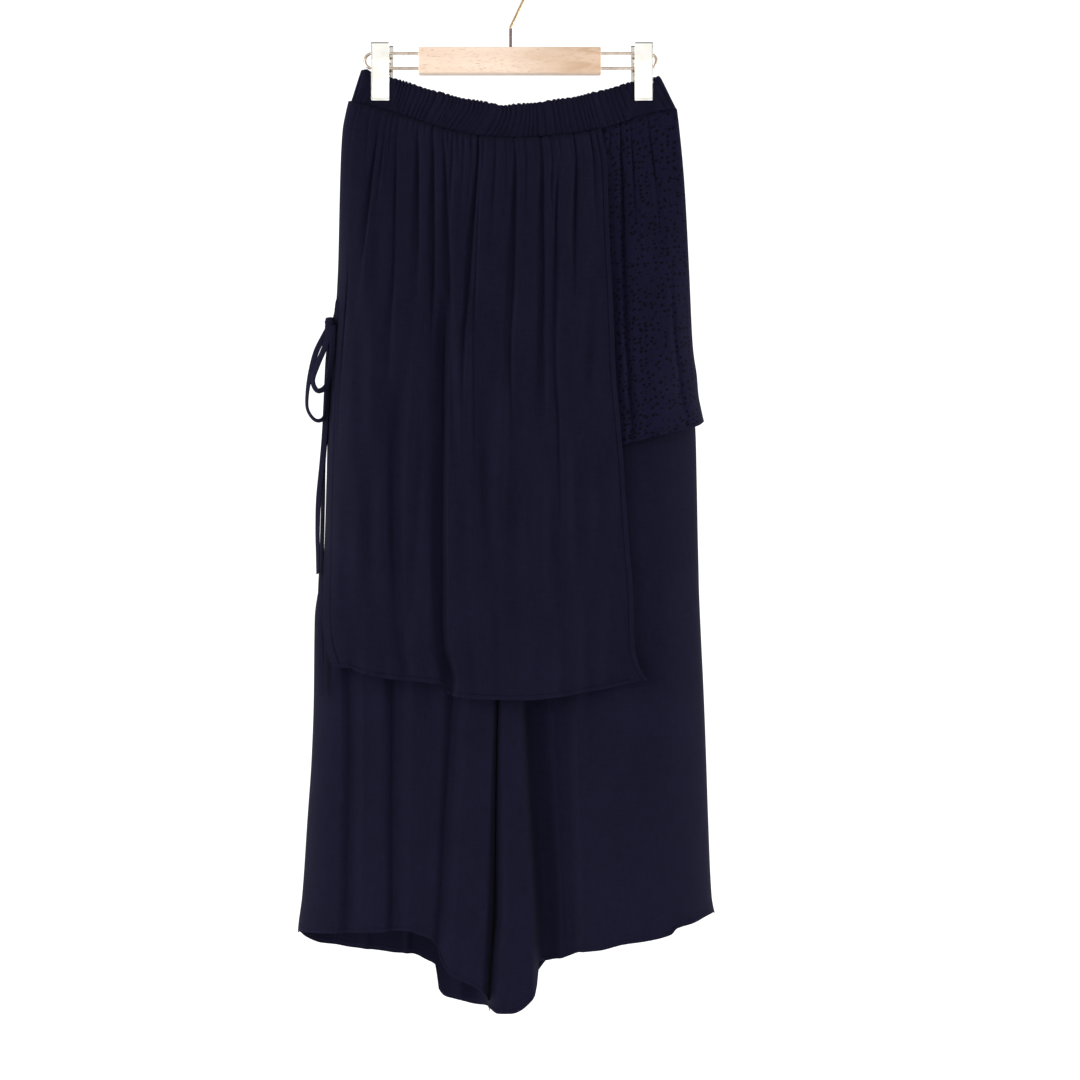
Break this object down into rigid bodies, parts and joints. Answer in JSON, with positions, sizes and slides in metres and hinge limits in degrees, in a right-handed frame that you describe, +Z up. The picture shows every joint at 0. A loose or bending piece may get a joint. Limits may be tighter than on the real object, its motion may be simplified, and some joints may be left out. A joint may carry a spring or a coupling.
{
  "type": "culottes on a clip hanger",
  "caption": "Wide culottes with a gathered elastic waist, a long front apron panel, a short dotted hip panel and a side bow, hanging from a wood and brass clip hanger.",
  "frame": {"origin": "inner top of the hanger's hook, where a rail holds it", "axes": "+Z up, -Y towards the garment's front, +X to the right-hand side as it is looked at from the front"},
  "size_m": [0.4384, 0.0911, 1.1094],
  "materials": {
    "navy_cloth": "matt very dark navy crepe",
    "dotted_cloth": "matt very dark navy with small darker dots",
    "navy_tape": "dark navy cloth tape",
    "beech": "pale satin beech",
    "brass": "polished pale brass",
    "dark_steel": "dark brown steel"
  },
  "bodies": {
    "root": {"waistband_front": "navy_cloth", "waistband_back": "navy_cloth", "leg_front_left": "navy_cloth", "leg_front_right": "navy_cloth", "leg_back_left": "navy_cloth", "leg_back_right": "navy_cloth", "apron_panel": "navy_cloth", "dotted_panel_front": "dotted_cloth", "dotted_panel_back": "dotted_cloth", "tie_knot": "navy_tape", "tie_base": "navy_tape", "tie_loop_outer": "navy_tape", "tie_loop_inner": "navy_tape", "tie_tail_short": "navy_tape", "tie_tail_long": "navy_tape", "hanger_bar": "beech", "hanger_wire_left": "brass", "hanger_wire_right": "brass", "clip_front_left": "brass", "clip_front_right": "brass", "clip_back_left": "dark_steel", "clip_back_right": "dark_steel", "clip_spring_left": "dark_steel", "clip_spring_right": "dark_steel", "hook_stem": "dark_steel", "hook": "brass"}
  },
  "joints": []
}
